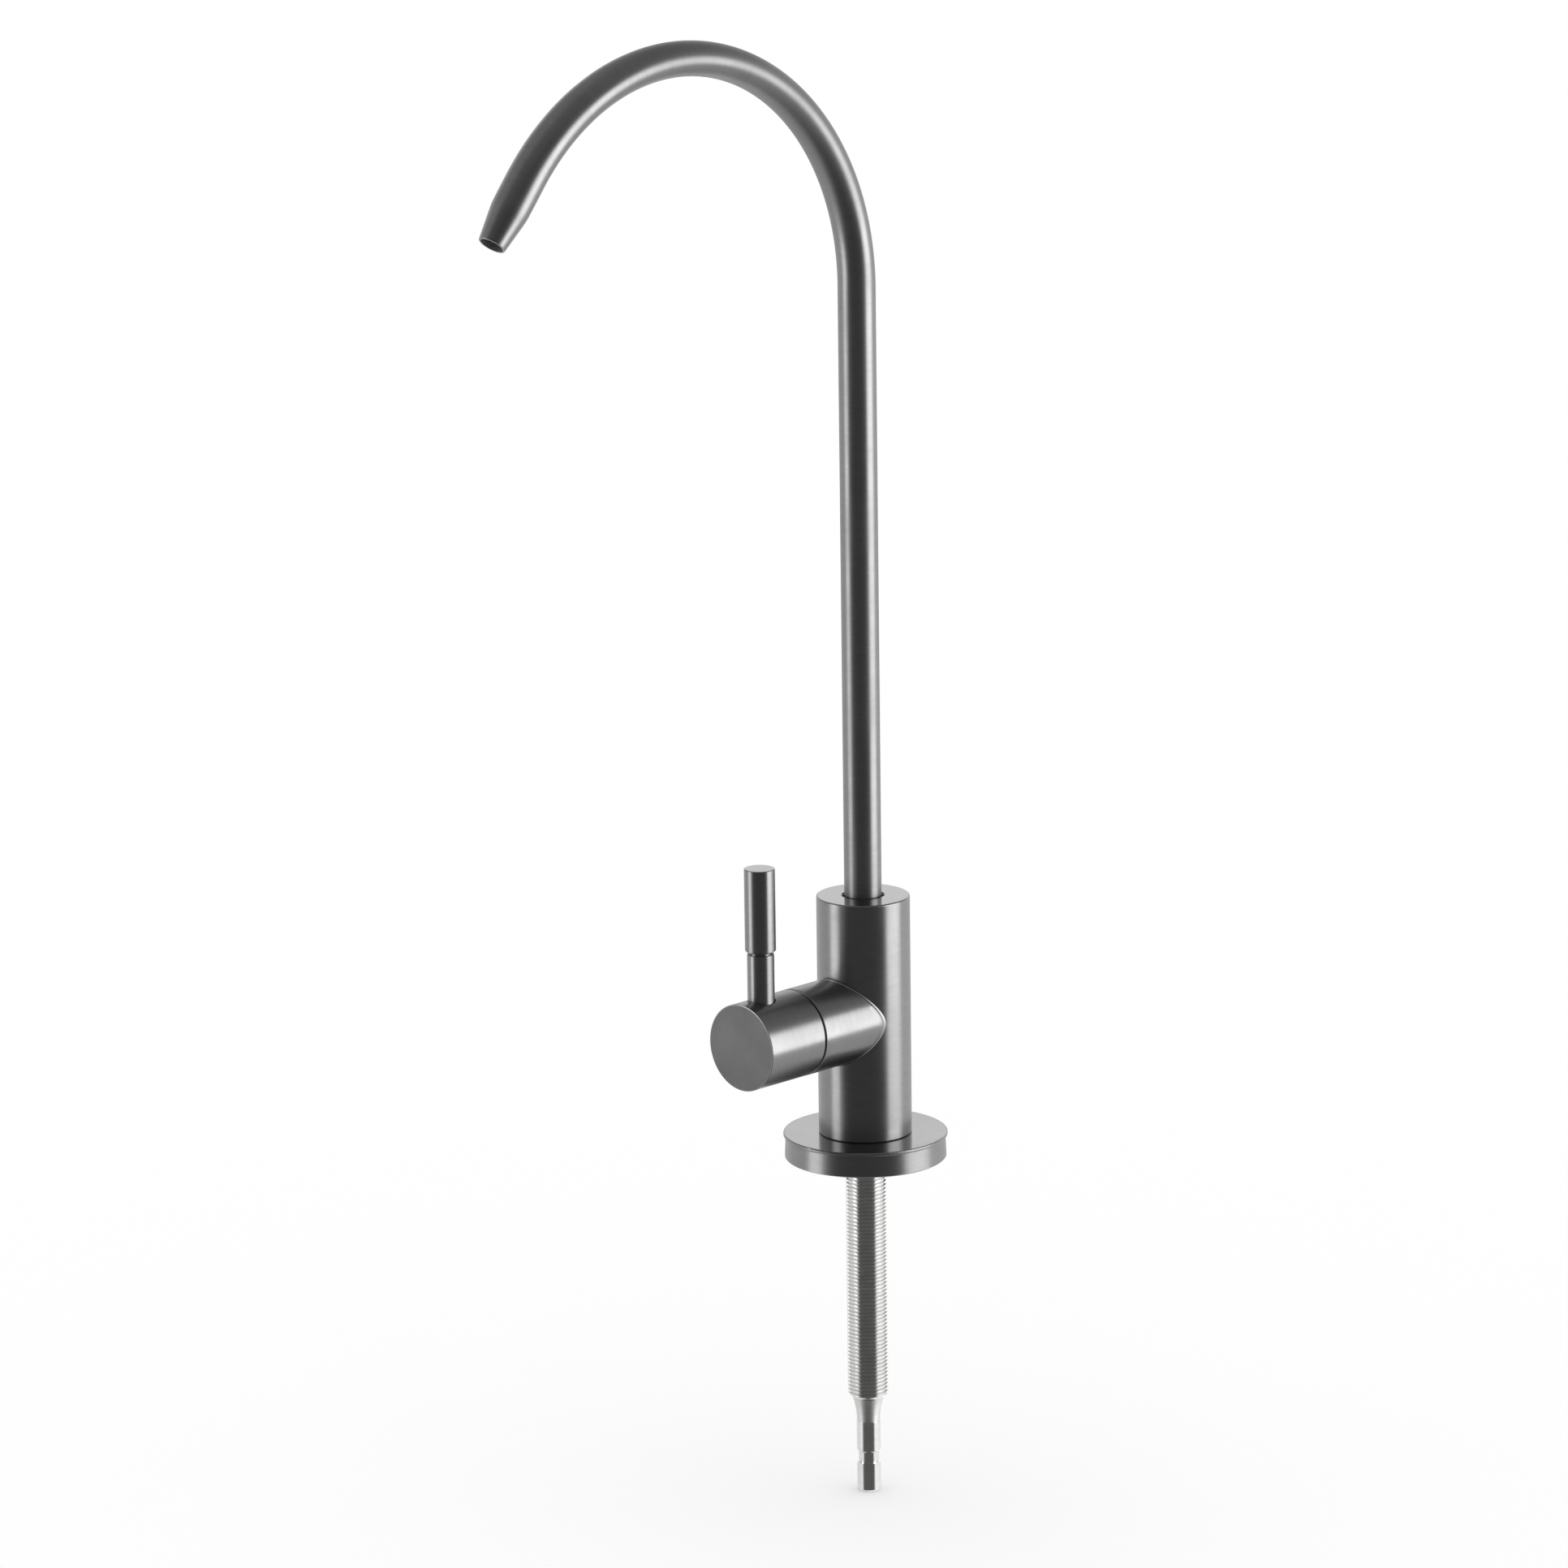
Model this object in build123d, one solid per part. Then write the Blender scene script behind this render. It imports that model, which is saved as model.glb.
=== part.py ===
from build123d import *
import os
from math import radians, tan

# A single-lever drinking water tap for a filter: an upright body on a round base plate, a side
# branch that holds a ceramic quarter-turn valve, a turning hub with an upright lever, a slim
# swivel spout bent over in one arch, and a threaded shank that ends in a push-fit inlet stem.
#
# Millimetres. The origin is on the body's axis at the deck surface, under the base plate. +Z is up.
# The branch, the handle and the spout point along -Y, and the shank hangs below the deck.

# Clearances that several pieces share
running_gap = 0.06      # radial play of a turning piece in its bore
slip_gap = 0.02         # radial play of a piece that is pushed in and stays
seal_gap = 0.02         # an elastic ring stops this far short of the wall that it wipes
face_gap = 0.02         # play between two flat faces that turn on each other
cut_overrun = 2.0       # how far a cutting shape runs past the face it opens

# Angles about the branch's axis, as its pieces are drawn
upward_angle = 90.0
downward_angle = 270.0
half_turn = 180.0

# Base plate: a turned cap with a raised lip and a hollow underside for its gasket
plate_height = 6.9
plate_lip_radius = 22.1
plate_lip_thickness = 1.0
plate_lip_round = 0.35
plate_waist_radius = 21.5
plate_foot_radius = 21.75
plate_foot_chamfer = 0.25
plate_skirt_wall = 1.4
plate_hollow_depth = 3.0
plate_hole_gap = 0.2
gasket_hole_gap = 2.0
gasket_edge_gap = 0.1

# Threaded shank: 7/16 inch by 24 threads to the inch, drawn down to a quarter-inch stem
shank_radius = 5.5
shank_bore_radius = 2.6
thread_pitch = 1.058
thread_crest_share = 0.125
thread_root_share = 0.25
thread_flank_angle = 30.0
thread_drop = 67.7
thread_rise = 2.9
thread_end_chamfer = 1.0
neck_length = 7.2
neck_top_radius = 4.45
neck_step = 0.08
stem_radius = 3.175
stem_bore_radius = 2.1
stem_length = 19.6
stem_edge_chamfer = 0.45
stem_groove_radius = 2.7
stem_groove_width = 3.0
stem_tip_length = 8.0
shank_socket_depth = 12.0
shank_head_gap = 1.5
shank_ring_groove_radius = 4.3
shank_ring_land = 1.2

# Body: an upright bar, bored from both ends and from the front
body_radius = 12.5
body_top_round = 0.45
body_foot_chamfer = 0.3
branch_height = 39.7
inlet_passage_radius = 2.2
inlet_passage_offset = 3.0
outlet_passage_radius = 1.6
outlet_passage_reach = 3.9
socket_floor_wall = 2.0

# Side branch: a turned sleeve, saddled to the body and brazed into its side
branch_radius = 11.75
branch_reach = 26.6
branch_edge_round = 0.3
saddle_gap = 0.3
saddle_lip_round = 0.25
spigot_radius = 8.5
spigot_depth = 5.0
mouth_chamfer = 0.3

# Valve chamber and cartridge, measured outwards along the branch from the body's axis
seat_reach = 1.5
chamber_radius = 7.2
cartridge_thread_radius = 8.0
seal_thickness = 2.5
seal_inner_radius = 4.7
disc_radius = 5.5
disc_thickness = 2.4
disc_port_inner_radius = 1.6
disc_port_outer_radius = 4.6
disc_port_half_angle = 40.0
disc_key_width = 2.4
disc_side_gap = 0.1
housing_seat_gap = 0.4
housing_skirt_wall = 0.8
window_width = 6.0
window_margin = 0.5
shoulder_land = 0.7
chamber_relief = 0.3
hex_across_flats = 13.0
hex_length = 2.4
nose_radius = 6.6
nose_bore_radius = 5.0
nose_reach = 2.0
stop_window_depth = 2.0

# Spindle: a tee-shaped driver, a sealed shaft and a flatted end for the hub
driver_width = 3.0
driver_slot_depth = 0.9
driver_length = 4.7
driver_end_gap = 0.1
driver_side_gap = 0.05
spindle_flange_thickness = 1.6
spindle_radius = 3.5
spindle_flat_height = 2.6
washer_thickness = 0.5
washer_radius = 5.3
spindle_ring_count = 2
ring_section = 1.0
ring_groove_side_gap = 0.15
ring_land = 1.1
stop_ring_thickness = 2.2
stop_ring_gap = 0.2
stop_lug_radius = 6.45
stop_lug_half_angle = 25.0
stop_lug_gap = 0.25
stop_play_angle = 0.5
handle_travel = 90.0
clip_thickness = 0.8
clip_groove_radius = 2.9
clip_radius = 4.8
clip_opening_width = 3.2
spindle_end_gap = 0.8

# Hub and lever
hub_radius = 11.7
hub_length = 19.9
hub_gap = 0.4
hub_face_chamfer = 0.15
hub_back_round = 0.25
hub_recess_radius = 9.0
hub_recess_depth = 3.0
hub_bore_depth = 12.0
lever_reach = 12.2
lever_screw_radius = 2.0
lever_spot_gap = 0.25
lever_spot_height = 10.4
lever_stem_radius = 3.6
lever_stem_length = 13.9
lever_stem_chamfer = 0.15
lever_neck_radius = 3.0
lever_neck_length = 0.5
lever_pin_radius = 2.2
lever_pin_length = 15.0
grip_radius = 4.1
grip_length = 22.6
grip_foot_chamfer = 0.45
grip_top_round = 0.25

# Spout tube, its collar in the body, and the guide bush in the body's mouth
tube_radius = 5.0
tube_wall = 0.8
tube_insert = 8.65
riser_height = 236.6
bend_radius = 66.9
bend_angle = 141.0
outlet_straight = 8.8
outlet_taper = 10.0
outlet_radius = 3.6
outlet_wall = 0.5
outlet_blend = 30.0
outlet_edge_round = 0.15
spout_socket_radius = 5.8
collar_bore_radius = 3.2
collar_groove_radius = 4.6
collar_foot_gap = 1.6
collar_end_gap = 0.3
collar_land = 0.9
snap_ring_thickness = 1.0
snap_ring_inner_radius = 4.9
snap_ring_bite = 0.6
snap_ring_side_gap = 0.05
snap_ring_opening_width = 3.0
bush_height = 4.0
bush_recess = 0.4
bush_tooth_count = 6
bush_tooth_gap_width = 1.3
bush_tooth_gap_depth = 0.9

# Heights that follow from the stack of pieces in the body
shank_socket_top = plate_height + shank_socket_depth
shank_top = shank_socket_top - shank_head_gap
shank_ring_groove = ring_section + 2 * ring_groove_side_gap
socket_floor = branch_height + chamber_radius + socket_floor_wall
collar_foot = socket_floor + collar_foot_gap
collar_ring_section = spout_socket_radius - seal_gap - collar_groove_radius
collar_groove_width = collar_ring_section + 2 * ring_groove_side_gap
snap_groove_foot = collar_foot + collar_land
snap_groove_width = snap_ring_thickness + 2 * snap_ring_side_gap
lower_ring_foot = snap_groove_foot + snap_groove_width + collar_land
upper_ring_foot = lower_ring_foot + collar_groove_width + collar_land
tube_foot = upper_ring_foot + collar_groove_width + 2 * collar_land
collar_top = tube_foot + tube_insert
bush_foot = collar_top + collar_end_gap
body_top = bush_foot + bush_height + bush_recess

# Places along the branch that follow from the stack of pieces in the valve
fixed_disc_reach = seat_reach + seal_thickness
moving_disc_reach = fixed_disc_reach + disc_thickness + face_gap
driver_reach = moving_disc_reach + disc_thickness - driver_slot_depth + face_gap
spindle_flange_reach = driver_reach + driver_length
washer_reach = spindle_flange_reach + spindle_flange_thickness
shoulder_reach = washer_reach + washer_thickness + face_gap
skirt_bore_radius = disc_radius + disc_side_gap
skirt_radius = skirt_bore_radius + housing_skirt_wall
cartridge_ring_reach = shoulder_reach + shoulder_land
cartridge_groove_radius = chamber_radius - seal_gap - ring_section
cartridge_groove_width = ring_section + 2 * ring_groove_side_gap
chamber_end_reach = cartridge_ring_reach + cartridge_groove_width + shoulder_land
thread_end_reach = branch_reach - hex_length
hub_back_reach = branch_reach + hub_gap
nose_end_reach = branch_reach + nose_reach
stop_ring_reach = nose_end_reach - stop_ring_thickness
nose_floor_reach = stop_ring_reach - stop_ring_gap
clip_reach = nose_end_reach + stop_ring_gap
spindle_end_reach = hub_back_reach + hub_bore_depth + hub_recess_depth - spindle_end_gap
lever_centre_reach = hub_back_reach + lever_reach
spindle_groove_radius = spindle_radius + running_gap - seal_gap - ring_section
hub_front_reach = hub_back_reach + hub_length
spigot_floor_reach = body_radius - spigot_depth

# Solids are drawn standing on the height that they start from.
standing = (Align.CENTER, Align.CENTER, Align.MIN)


def turned(outline, rounds=()):
    """Turn a closed outline of (radius, height) points about the Z axis.

    rounds holds pairs of an outline point and the radius that rounds it.
    """
    points = [(radius, 0, height) for radius, height in outline]
    face = make_face(Polyline(*points, close=True)).face()
    for (radius, height), round_radius in rounds:
        corner = face.vertices().sort_by_distance((radius, 0, height))[0]
        face = face.fillet_2d(round_radius, [corner])
    return revolve(face, Axis.Z)


def rod(radius, foot, top):
    """An upright round bar from one height to another."""
    return Pos(0, 0, foot) * Cylinder(radius, top - foot, align=standing)


def block(width, depth, foot, top):
    """An upright square bar, centred on the axis."""
    return Pos(0, 0, foot) * Box(width, depth, top - foot, align=standing)


def elastic_ring(inner_radius, outer_radius, height):
    """A round-section ring, centred at a height, that fills a groove from its floor to the wall."""
    section_radius = (outer_radius - inner_radius) / 2
    return Pos(0, 0, height) * Torus(inner_radius + section_radius, section_radius)


def ring_sector(inner_radius, outer_radius, middle_angle, half_angle, foot, top):
    """A sector of a flat ring, from one height to another."""
    outer = CenterArc((0, 0, 0), outer_radius, middle_angle - half_angle, 2 * half_angle)
    inner = CenterArc((0, 0, 0), inner_radius, middle_angle - half_angle, 2 * half_angle)
    sides = [Line(outer @ 1, inner @ 1), Line(inner @ 0, outer @ 0)]
    face = make_face([outer, sides[0], inner, sides[1]])
    return Pos(0, 0, foot) * extrude(face, top - foot)


def on_branch(piece):
    """Lay a piece that was drawn upright along the branch: its height becomes its forward reach."""
    return Pos(0, 0, branch_height) * Rot(90, 0, 0) * piece


def base_plate():
    hollow_radius = plate_foot_radius - plate_skirt_wall
    lip_foot = plate_height - plate_lip_thickness
    hole_radius = shank_radius + plate_hole_gap
    top_edge = (plate_lip_radius, plate_height)
    lip_edge = (plate_lip_radius, lip_foot)
    outline = [
        (hole_radius, plate_hollow_depth),
        (hollow_radius, plate_hollow_depth),
        (hollow_radius, 0),
        (plate_foot_radius - plate_foot_chamfer, 0),
        (plate_foot_radius, plate_foot_chamfer),
        (plate_waist_radius, lip_foot),
        lip_edge,
        top_edge,
        (hole_radius, plate_height),
    ]
    return turned(outline, [(top_edge, plate_lip_round), (lip_edge, plate_lip_round)])


def base_gasket():
    inner_radius = shank_radius + gasket_hole_gap
    outer_radius = plate_foot_radius - plate_skirt_wall - gasket_edge_gap
    return rod(outer_radius, 0, plate_hollow_depth) - rod(inner_radius, 0, plate_hollow_depth)


def thread_groove():
    """The helical groove of the shank's thread, wider at its mouth than at its root."""
    crest = thread_pitch * thread_crest_share
    root = thread_pitch * thread_root_share
    flank_rise = (thread_pitch - crest - root) / 2
    depth = flank_rise / tan(radians(thread_flank_angle))
    root_radius = shank_radius - depth
    start = -thread_drop - thread_pitch
    mouth_radius = shank_radius + depth
    mouth = root / 2 + 2 * flank_rise
    section = [
        (root_radius, 0, start - root / 2),
        (mouth_radius, 0, start - mouth),
        (mouth_radius, 0, start + mouth),
        (root_radius, 0, start + root / 2),
    ]
    path = Helix(thread_pitch, thread_rise - start, root_radius, center=(0, 0, start))
    return sweep(make_face(Polyline(*section, close=True)), path, is_frenet=True)


def threaded_shank():
    neck_foot = -thread_drop - neck_length
    neck_foot_radius = stem_radius - neck_step
    stem_end = neck_foot - stem_length
    groove_foot = stem_end + stem_tip_length
    groove_top = groove_foot + stem_groove_width
    blank = turned(
        [
            (0, -thread_drop),
            (shank_radius - thread_end_chamfer, -thread_drop),
            (shank_radius, -thread_drop + thread_end_chamfer),
            (shank_radius, shank_top),
            (0, shank_top),
        ]
    )
    blank -= thread_groove()
    # The neck narrows in a hollow arc that runs out straight down the stem.
    neck_edge = (neck_foot_radius, 0, neck_foot)
    neck_top = (neck_top_radius, 0, -thread_drop)
    neck_curve = TangentArc(neck_edge, neck_top, tangent=(0, 0, 1))
    neck_sides = Polyline(neck_top, (0, 0, -thread_drop), (0, 0, neck_foot), neck_edge)
    neck = revolve(make_face([neck_curve, neck_sides]).face(), Axis.Z)
    stem = turned(
        [
            (0, stem_end),
            (stem_radius - stem_edge_chamfer, stem_end),
            (stem_radius, stem_end + stem_edge_chamfer),
            (stem_radius, groove_foot),
            (stem_groove_radius, groove_foot),
            (stem_groove_radius, groove_top),
            (stem_radius, groove_top + (stem_radius - stem_groove_radius)),
            (stem_radius, neck_foot),
            (0, neck_foot),
        ]
    )
    water_way = rod(shank_bore_radius, -thread_drop, shank_top + cut_overrun)
    water_way += rod(stem_bore_radius, stem_end - cut_overrun, -thread_drop)
    ring_foot = shank_top - shank_ring_land - shank_ring_groove
    ring_groove = rod(shank_radius + cut_overrun, ring_foot, ring_foot + shank_ring_groove)
    ring_groove -= rod(shank_ring_groove_radius, ring_foot, ring_foot + shank_ring_groove)
    return blank + neck + stem - water_way - ring_groove


def shank_o_ring():
    middle = shank_top - shank_ring_land - shank_ring_groove / 2
    wall_radius = shank_radius + slip_gap - seal_gap
    return elastic_ring(wall_radius - ring_section, wall_radius, middle)


def valve_body():
    foot_edge = (body_radius, plate_height + body_foot_chamfer)
    top_edge = (body_radius, body_top)
    bar = turned(
        [
            (0, plate_height),
            (body_radius - body_foot_chamfer, plate_height),
            foot_edge,
            top_edge,
            (0, body_top),
        ],
        [(top_edge, body_top_round)],
    )
    # The spout's socket, with a groove for the snap ring
    socket = rod(spout_socket_radius, socket_floor, body_top + cut_overrun)
    ring_groove_radius = spout_socket_radius + snap_ring_bite
    socket += rod(ring_groove_radius, snap_groove_foot, snap_groove_foot + snap_groove_width)
    shank_socket = rod(shank_radius + slip_gap, plate_height - cut_overrun, shank_socket_top)
    # Water comes up behind the axis, turns to the seat, and leaves the chamber through its roof.
    rise = rod(inlet_passage_radius, shank_socket_top - slip_gap, branch_height)
    rise += Pos(0, 0, branch_height) * Sphere(inlet_passage_radius)
    rise = Pos(0, inlet_passage_offset, 0) * rise
    seat_port = on_branch(rod(inlet_passage_radius, -inlet_passage_offset, seat_reach + cut_overrun))
    outlet = rod(outlet_passage_radius, branch_height + chamber_radius / 2, socket_floor + slip_gap)
    outlet = Pos(0, -outlet_passage_reach, 0) * outlet
    chamber = on_branch(rod(chamber_radius, seat_reach, body_radius + cut_overrun))
    spigot_hole = on_branch(rod(spigot_radius + slip_gap, spigot_floor_reach, body_radius + cut_overrun))
    return bar - socket - shank_socket - rise - seat_port - outlet - chamber - spigot_hole


def side_branch():
    front_edge = (branch_radius, branch_reach)
    outline = [(0, 0), (branch_radius, 0), front_edge, (0, branch_reach)]
    sleeve = on_branch(turned(outline, [(front_edge, branch_edge_round)]))
    # The root is hollowed to sit round the body, and its sharp lip is rounded.
    saddle_foot = branch_height - branch_radius - cut_overrun
    saddle_top = branch_height + branch_radius + cut_overrun
    sleeve -= rod(body_radius + saddle_gap, saddle_foot, saddle_top)
    plain_edges = (GeomType.CIRCLE, GeomType.LINE)
    lip = sleeve.edges().filter_by(lambda edge: edge.geom_type not in plain_edges)
    sleeve = fillet(lip, saddle_lip_round)
    # The spigot enters the body's side.
    sleeve += on_branch(rod(spigot_radius, spigot_floor_reach, body_radius + saddle_gap + spigot_depth))
    thread_bore_radius = cartridge_thread_radius + slip_gap
    sleeve -= on_branch(rod(chamber_radius, 0, chamber_end_reach))
    sleeve -= on_branch(rod(thread_bore_radius, chamber_end_reach, branch_reach + cut_overrun))
    mouth_radius = thread_bore_radius + mouth_chamfer
    mouth = turned(
        [
            (0, branch_reach - mouth_chamfer),
            (mouth_radius - mouth_chamfer, branch_reach - mouth_chamfer),
            (mouth_radius, branch_reach),
            (0, branch_reach),
        ]
    )
    return sleeve - on_branch(mouth)


def seat_seal():
    ring = rod(disc_radius, seat_reach, fixed_disc_reach)
    ring -= rod(seal_inner_radius, seat_reach, fixed_disc_reach)
    return on_branch(ring)


def disc_with_ports(first_port_angle, foot, top):
    """A ceramic disc with two ports, opposite each other."""
    disc = rod(disc_radius, foot, top)
    port = ring_sector(
        disc_port_inner_radius,
        disc_port_outer_radius,
        first_port_angle,
        disc_port_half_angle,
        foot - cut_overrun,
        top + cut_overrun,
    )
    return disc - port - Rot(0, 0, half_turn) * port


def fixed_disc():
    """Its ports stand above and below the axis, where the seat lets water in."""
    top = fixed_disc_reach + disc_thickness
    disc = disc_with_ports(upward_angle, fixed_disc_reach, top)
    keys = block(2 * skirt_radius, disc_key_width, fixed_disc_reach, top)
    keys -= rod(disc_radius - slip_gap, fixed_disc_reach - cut_overrun, top + cut_overrun)
    return on_branch(disc + keys)


def moving_disc():
    """Its ports are a quarter turn away from the fixed ones, so the tap is shut at rest."""
    top = moving_disc_reach + disc_thickness
    disc = disc_with_ports(upward_angle - handle_travel, moving_disc_reach, top)
    slot_width = driver_width + 2 * driver_side_gap
    slot_length = 2 * disc_radius + cut_overrun
    slot = block(slot_width, slot_length, top - driver_slot_depth, top + cut_overrun)
    return on_branch(disc - slot)


def cartridge_housing():
    inner_end = seat_reach + housing_seat_gap
    outside = turned(
        [
            (0, inner_end),
            (skirt_radius, inner_end),
            (skirt_radius, shoulder_reach - shoulder_land),
            (chamber_radius - slip_gap, shoulder_reach - shoulder_land),
            (chamber_radius - slip_gap, cartridge_ring_reach),
            (cartridge_groove_radius, cartridge_ring_reach),
            (cartridge_groove_radius, cartridge_ring_reach + cartridge_groove_width),
            (chamber_radius - slip_gap, cartridge_ring_reach + cartridge_groove_width),
            (chamber_radius - slip_gap, chamber_end_reach + chamber_relief),
            (cartridge_thread_radius, chamber_end_reach + chamber_relief),
            (cartridge_thread_radius, thread_end_reach),
            (nose_radius, thread_end_reach),
            (nose_radius, nose_end_reach),
            (0, nose_end_reach),
        ]
    )
    hexagon = extrude(RegularPolygon(hex_across_flats / 2, 6, major_radius=False), hex_length)
    outside += Pos(0, 0, thread_end_reach) * hexagon
    inside = rod(skirt_bore_radius, inner_end - cut_overrun, shoulder_reach)
    inside += rod(spindle_radius + running_gap, shoulder_reach, nose_floor_reach)
    inside += rod(nose_bore_radius, nose_floor_reach, nose_end_reach + cut_overrun)
    # Water leaves sideways through one window above and one below.
    window_foot = moving_disc_reach + disc_thickness + window_margin
    window_top = spindle_flange_reach - window_margin
    windows = block(window_width, 2 * chamber_radius, window_foot, window_top)
    keyway_top = fixed_disc_reach + disc_thickness
    keyway_width = disc_key_width + 2 * slip_gap
    keyway = block(2 * chamber_radius, keyway_width, inner_end - cut_overrun, keyway_top)
    # The stop lug swings in this cut through the nose, below the spindle.
    stop_window = ring_sector(
        nose_bore_radius - slip_gap,
        nose_radius + cut_overrun,
        downward_angle,
        handle_travel / 2 + stop_lug_half_angle + stop_play_angle,
        nose_end_reach - stop_window_depth,
        nose_end_reach + cut_overrun,
    )
    return on_branch(outside - inside - windows - keyway - stop_window)


def cartridge_o_ring():
    middle = cartridge_ring_reach + cartridge_groove_width / 2
    return on_branch(elastic_ring(cartridge_groove_radius, chamber_radius - seal_gap, middle))


def flatted(piece, foot, top, clearance=0):
    """Cut the flat that keys a shaft, or close a bore to match it."""
    depth = 2 * spindle_radius
    cutter = Pos(0, spindle_flat_height + clearance + depth / 2, 0) * block(2 * depth, depth, foot, top)
    return piece - cutter


def spindle_groove_foot(index):
    first = shoulder_reach + ring_land
    return first + index * (ring_section + 2 * ring_groove_side_gap + ring_land)


def spindle():
    shaft = rod(spindle_radius, washer_reach - slip_gap, spindle_end_reach)
    flange_radius = skirt_bore_radius - running_gap
    flange = rod(flange_radius, spindle_flange_reach, washer_reach)
    driver_radius = disc_radius - driver_end_gap
    driver_top = spindle_flange_reach + slip_gap
    driver = block(driver_width, 2 * driver_radius, driver_reach, driver_top)
    driver = driver & rod(driver_radius, driver_reach, driver_top)
    piece = shaft + flange + driver
    clip_top = clip_reach + clip_thickness + 2 * face_gap
    grooves = [(clip_reach, clip_top, clip_groove_radius)]
    for index in range(spindle_ring_count):
        foot = spindle_groove_foot(index)
        grooves.append((foot, foot + ring_section + 2 * ring_groove_side_gap, spindle_groove_radius))
    for foot, top, floor_radius in grooves:
        piece -= rod(spindle_radius + cut_overrun, foot, top) - rod(floor_radius, foot, top)
    piece = flatted(piece, nose_floor_reach, spindle_end_reach + cut_overrun)
    return on_branch(piece)


def spindle_o_ring(index):
    middle = spindle_groove_foot(index) + ring_section / 2 + ring_groove_side_gap
    wall_radius = spindle_radius + running_gap - seal_gap
    return on_branch(elastic_ring(spindle_groove_radius, wall_radius, middle))


def thrust_washer():
    ring = rod(washer_radius, washer_reach, washer_reach + washer_thickness)
    ring -= rod(spindle_radius + slip_gap, washer_reach, washer_reach + washer_thickness)
    return on_branch(ring)


def flatted_bore(foot, top):
    """The hole that fits the flatted end of the spindle."""
    return flatted(rod(spindle_radius + slip_gap, foot, top), foot, top, slip_gap)


def stop_ring():
    top = nose_end_reach
    ring = rod(nose_bore_radius - running_gap, stop_ring_reach, top)
    lug = ring_sector(
        nose_bore_radius / 2,
        stop_lug_radius,
        downward_angle - handle_travel / 2,
        stop_lug_half_angle,
        nose_end_reach - stop_window_depth + stop_lug_gap,
        top,
    )
    return on_branch(ring + lug - flatted_bore(stop_ring_reach, top))


def spindle_circlip():
    foot = clip_reach + face_gap
    top = foot + clip_thickness
    ring = rod(clip_radius, foot, top) - rod(clip_groove_radius + slip_gap, foot, top)
    opening = Pos(0, -clip_radius, 0) * block(clip_opening_width, 2 * clip_radius, foot, top)
    return on_branch(ring - opening)


def handle_hub():
    front_edge = hub_front_reach - hub_face_chamfer
    back_edge = (hub_radius, hub_back_reach)
    recess_floor = hub_back_reach + hub_recess_depth
    blank = turned(
        [
            (hub_recess_radius, hub_back_reach),
            back_edge,
            (hub_radius, front_edge),
            (hub_radius - hub_face_chamfer, hub_front_reach),
            (0, hub_front_reach),
            (0, recess_floor),
            (hub_recess_radius, recess_floor),
        ],
        [(back_edge, hub_back_round)],
    )
    blank -= flatted_bore(recess_floor - slip_gap, recess_floor + hub_bore_depth)
    # The lever screws in from above, through a spot-faced hole.
    screw_hole = rod(lever_screw_radius + slip_gap, 0, lever_spot_height)
    spot_face = rod(lever_stem_radius + lever_spot_gap, lever_spot_height, hub_radius + cut_overrun)
    hole = Pos(0, -lever_centre_reach, branch_height) * (screw_hole + spot_face)
    return on_branch(blank) - hole


def at_lever(piece):
    """Stand a piece on the handle's axis, at the lever's place on the hub."""
    return Pos(0, -lever_centre_reach, branch_height) * piece


def lever_stem():
    foot = lever_spot_height
    top = foot + lever_stem_length
    pin_foot = top + lever_neck_length
    return at_lever(
        turned(
            [
                (0, spindle_flat_height + slip_gap),
                (lever_screw_radius, spindle_flat_height + slip_gap),
                (lever_screw_radius, foot),
                (lever_stem_radius, foot),
                (lever_stem_radius, top - lever_stem_chamfer),
                (lever_stem_radius - lever_stem_chamfer, top),
                (lever_neck_radius, top),
                (lever_neck_radius, pin_foot),
                (lever_pin_radius, pin_foot),
                (lever_pin_radius, pin_foot + lever_pin_length),
                (0, pin_foot + lever_pin_length),
            ]
        )
    )


def lever_grip():
    foot = lever_spot_height + lever_stem_length + lever_neck_length
    top_edge = (grip_radius, foot + grip_length)
    blank = turned(
        [
            (0, foot),
            (grip_radius - grip_foot_chamfer, foot),
            (grip_radius, foot + grip_foot_chamfer),
            top_edge,
            (0, foot + grip_length),
        ],
        [(top_edge, grip_top_round)],
    )
    bore = rod(lever_pin_radius + slip_gap, foot, foot + lever_pin_length + slip_gap)
    return at_lever(blank - bore)


def outlet_tip():
    """The swaged end of the spout, drawn upright from its wide end at height zero."""
    shoulder = (tube_radius, outlet_straight)
    inner_shoulder = (tube_radius - tube_wall, outlet_straight)
    end = outlet_straight + outlet_taper
    rim = (outlet_radius, end)
    outline = [
        (tube_radius - tube_wall, 0),
        (tube_radius, 0),
        shoulder,
        rim,
        (outlet_radius - outlet_wall, end),
        inner_shoulder,
    ]
    rounds = [(shoulder, outlet_blend), (inner_shoulder, outlet_blend), (rim, outlet_edge_round)]
    return turned(outline, rounds)


def spout_tube():
    riser = rod(tube_radius, tube_foot, riser_height)
    riser -= rod(tube_radius - tube_wall, tube_foot, riser_height)
    section = Circle(tube_radius) - Circle(tube_radius - tube_wall)
    bend_axis = Axis((0, -bend_radius, riser_height), (1, 0, 0))
    arch = revolve(Pos(0, 0, riser_height) * section, bend_axis, bend_angle)
    tip = Pos(0, -bend_radius, riser_height) * Rot(bend_angle, 0, 0) * Pos(0, bend_radius, 0) * outlet_tip()
    return riser + arch + tip


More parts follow.
